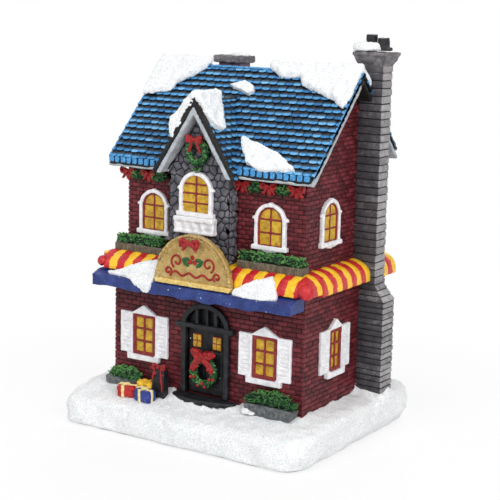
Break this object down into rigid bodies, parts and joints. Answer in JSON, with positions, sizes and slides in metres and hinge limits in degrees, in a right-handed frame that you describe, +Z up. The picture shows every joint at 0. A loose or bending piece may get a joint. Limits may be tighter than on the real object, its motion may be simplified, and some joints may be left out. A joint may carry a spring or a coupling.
{
  "type": "lit christmas shop figurine",
  "caption": "Small hand-painted resin village shop in winter dress on a snowy base, hollow inside, with a battery lamp unit in its underside.",
  "frame": {"origin": "centre of the base's underside", "axes": "+Z up, the shop front with its door faces -Y, +X is the side with the outside chimney"},
  "size_m": [0.0914, 0.0754, 0.125],
  "materials": {
    "snow_resin": "cast resin, rough white paint with fine glitter",
    "brick_paint": "cast resin, hand-painted dark red brick with a satin varnish",
    "window_paint": "cast resin, hand-painted white with mustard panes",
    "board_paint": "cast resin, hand-painted pale grey",
    "tile_paint": "cast resin, dry-brushed bright blue over near-black",
    "awning_paint": "cast resin, hand-painted yellow and red stripes",
    "beam_paint": "cast resin, royal blue satin paint",
    "stone_paint": "cast resin, dry-brushed grey stone",
    "black_paint": "cast resin, near-black satin paint",
    "foliage_paint": "cast resin, green paint with red berries and bows",
    "trough_paint": "cast resin, grey-brown painted wood look",
    "gold_paint": "cast resin, antique gold paint with dark crackle",
    "red_paint": "cast resin, red satin paint",
    "yellow_paint": "cast resin, golden yellow paint",
    "blue_paint": "cast resin, navy paint",
    "black_plastic": "moulded black ABS, fine texture",
    "lamp_lens": "clear warm-white epoxy lens",
    "plated_steel": "nickel-plated steel"
  },
  "bodies": {
    "root": {"ground_slab": "snow_resin", "roof_snow_left": "snow_resin", "roof_snow_right": "snow_resin", "roof_snow_lower": "snow_resin", "dormer_snow": "snow_resin", "awning_snow_left": "snow_resin", "awning_snow_right": "snow_resin", "chimney_snow": "snow_resin", "lower_walls": "brick_paint", "upper_walls": "brick_paint", "lower_left_window": "window_paint", "lower_right_window": "window_paint", "lower_east_window": "window_paint", "lower_west_window": "window_paint", "upper_left_window": "window_paint", "upper_right_window": "window_paint", "upper_east_window": "window_paint", "upper_west_window": "window_paint", "dormer_window": "window_paint", "dormer_balcony": "window_paint", "roof_deck": "board_paint", "dormer_barge_boards": "board_paint", "roof_tiles": "tile_paint", "dormer_roof": "tile_paint", "front_awning": "awning_paint", "left_awning": "awning_paint", "right_awning": "awning_paint", "right_rear_awning": "awning_paint", "fascia_beam": "beam_paint", "dormer_walls": "stone_paint", "main_chimney": "stone_paint", "chimney_cap": "stone_paint", "rear_chimney": "stone_paint", "chimney_pots": "black_paint", "door_frame": "black_paint", "door_leaf": "black_paint", "door_step": "black_paint", "post_box": "black_paint", "door_wreath": "foliage_paint", "dormer_wreath": "foliage_paint", "left_box_greens": "foliage_paint", "right_box_greens": "foliage_paint", "garland_left": "foliage_paint", "garland_right": "foliage_paint", "left_planter": "foliage_paint", "right_planter_greens": "foliage_paint", "left_window_box": "trough_paint", "right_window_box": "trough_paint", "right_planter": "trough_paint", "sign_board": "gold_paint", "sign_bow": "red_paint", "present_red": "red_paint", "present_yellow": "yellow_paint", "present_blue": "blue_paint", "light_housing": "black_plastic", "lamp": "lamp_lens", "coin_cell": "plated_steel"},
    "cover": {"battery_cover": "black_plastic"},
    "screw": {"cover_screw": "plated_steel"},
    "switch": {"switch_knob": "black_plastic"}
  },
  "joints": [
    {"name": "cover_out", "type": "slide", "parent": "root", "child": "cover", "axis": [0, 0, -1], "range_m": [0, 0.008]},
    {"name": "screw_turn", "type": "hinge", "parent": "cover", "child": "screw", "pos_m": [0.00635, 0.00125, 0], "axis": [0, 0, 1], "continuous": true},
    {"name": "switch_slide", "type": "slide", "parent": "root", "child": "switch", "axis": [1, 0, 0], "range_m": [0, 0.0025]}
  ]
}
